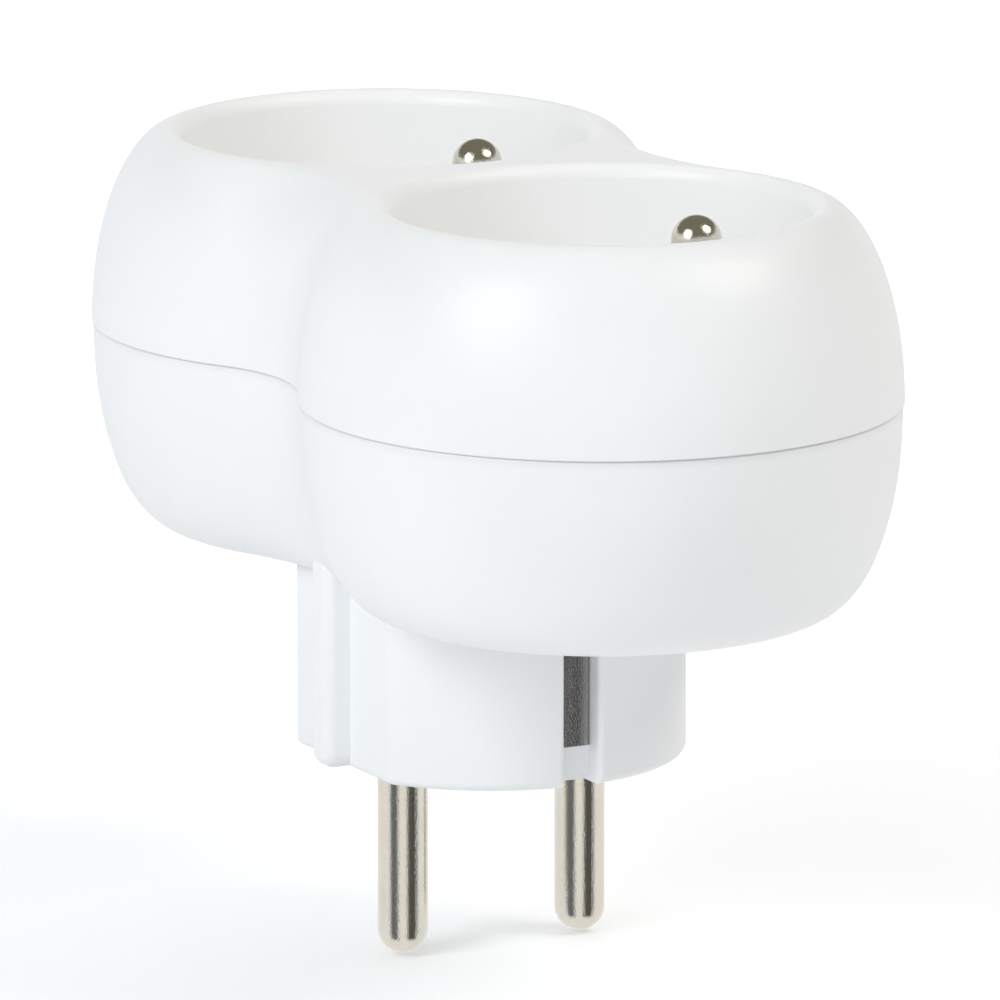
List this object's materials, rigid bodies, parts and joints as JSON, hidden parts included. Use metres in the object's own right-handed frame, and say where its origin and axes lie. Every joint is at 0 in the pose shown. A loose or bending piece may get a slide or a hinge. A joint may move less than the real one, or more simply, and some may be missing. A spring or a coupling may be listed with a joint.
{
  "type": "two-way socket adapter",
  "caption": "Adapter with round recessed earthed sockets side by side on a round earthed plug, with child-safety shutters under the wells.",
  "frame": {"origin": "centre of the flat face of the plug body, midway between its two round pins", "axes": "+Z the way the sockets face, X through the two socket centres, Y through the two plug pins"},
  "size_m": [0.1004, 0.0564, 0.0754],
  "materials": {
    "casing": "smooth white moulded plastic, soft sheen",
    "inner_plastic": "plain moulded insulating plastic",
    "shutter_plastic": "slippery moulded plastic",
    "nickel": "nickel plated brass",
    "brass": "stamped brass strip",
    "spring_steel": "drawn spring wire",
    "screw_steel": "zinc plated steel"
  },
  "bodies": {
    "casing": {"top_cover": "casing", "base_housing": "casing", "pin_holder": "inner_plastic", "shutter_retainer_left": "inner_plastic", "shutter_retainer_right": "inner_plastic", "plug_pin_line": "nickel", "plug_pin_neutral": "nickel", "earth_pin_left": "nickel", "earth_pin_right": "nickel", "earth_bracket": "nickel", "earth_sleeve": "brass", "earth_rivet": "brass", "earth_bar": "brass", "line_bar": "brass", "neutral_bar": "brass", "contact_line_left": "brass", "contact_neutral_left": "brass", "contact_line_right": "brass", "contact_neutral_right": "brass", "shutter_spring_left": "spring_steel", "shutter_spring_right": "spring_steel", "case_screw_1": "screw_steel", "case_screw_2": "screw_steel", "case_screw_3": "screw_steel", "case_screw_4": "screw_steel"},
    "shutter_left": {"shutter_left": "shutter_plastic"},
    "shutter_right": {"shutter_right": "shutter_plastic"}
  },
  "joints": [
    {"name": "shutter_turn_left", "type": "hinge", "parent": "casing", "child": "shutter_left", "pos_m": [-0.022, 0, 0.0373], "axis": [0, 0, 1], "range_deg": [0, 38.8], "stiffness_Nm_per_rad": 0.0008, "springref_deg": -20.05, "deforming": ["shutter_spring_left"]},
    {"name": "shutter_turn_right", "type": "hinge", "parent": "casing", "child": "shutter_right", "pos_m": [0.022, 0, 0.0373], "axis": [0, 0, 1], "range_deg": [0, 38.8], "stiffness_Nm_per_rad": 0.0008, "springref_deg": -20.05, "deforming": ["shutter_spring_right"]}
  ]
}
